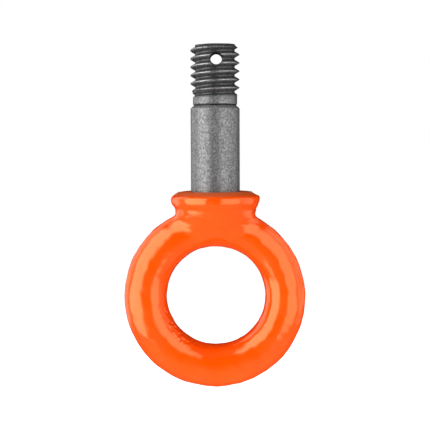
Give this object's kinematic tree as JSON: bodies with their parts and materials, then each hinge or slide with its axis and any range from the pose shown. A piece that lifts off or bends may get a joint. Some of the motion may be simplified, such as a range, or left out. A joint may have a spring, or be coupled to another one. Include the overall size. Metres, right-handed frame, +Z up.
{
  "type": "swivel hoist ring",
  "caption": "Forged lifting eye with a round collar that swivels on a headed shank bolt, threaded and cross-drilled at its end for a slotted nut and split pin.",
  "frame": {"origin": "on the bolt's axis, in the plane of the collar's top face, where the member above seats", "axes": "+Z up along the bolt towards its thread, +X across the eye in its plane, +Y through the eye and along the cross hole"},
  "size_m": [0.0358, 0.0174, 0.0664],
  "materials": {
    "orange_coat": "bright orange gloss coat over a forged surface",
    "phosphated_steel": "mottled grey, dry phosphated and lightly oiled",
    "bearing_steel": "ground and polished hardened steel",
    "pin_steel": "plain ground pin, filed flush",
    "cage_brass": "turned brass",
    "button_bronze": "sintered bronze, oily",
    "seal_rubber": "matt black moulded rubber"
  },
  "bodies": {
    "bolt": {"swivel_bolt": "phosphated_steel", "lower_race": "bearing_steel"},
    "eye": {"forged_eye": "orange_coat", "retaining_gland": "orange_coat", "gland_lock_pin": "pin_steel", "dust_seal": "seal_rubber", "upper_race": "bearing_steel", "thrust_button": "button_bronze"},
    "ball_set": {"ball_cage": "cage_brass", "bearing_ball_01": "bearing_steel", "bearing_ball_02": "bearing_steel", "bearing_ball_03": "bearing_steel", "bearing_ball_04": "bearing_steel", "bearing_ball_05": "bearing_steel", "bearing_ball_06": "bearing_steel", "bearing_ball_07": "bearing_steel", "bearing_ball_08": "bearing_steel", "bearing_ball_09": "bearing_steel", "bearing_ball_10": "bearing_steel", "bearing_ball_11": "bearing_steel", "bearing_ball_12": "bearing_steel", "bearing_ball_13": "bearing_steel", "bearing_ball_14": "bearing_steel", "bearing_ball_15": "bearing_steel", "bearing_ball_16": "bearing_steel"}
  },
  "joints": [
    {"name": "eye_swivel", "type": "hinge", "parent": "bolt", "child": "eye", "pos_m": [0, 0, 0], "axis": [0, 0, 1], "continuous": true},
    {"name": "ball_orbit", "type": "hinge", "parent": "bolt", "child": "ball_set", "pos_m": [0, 0, 0], "axis": [0, 0, 1], "continuous": true}
  ],
  "couplings": [
    {"joint": "ball_orbit", "follows": "eye_swivel", "ratio": 0.5}
  ]
}
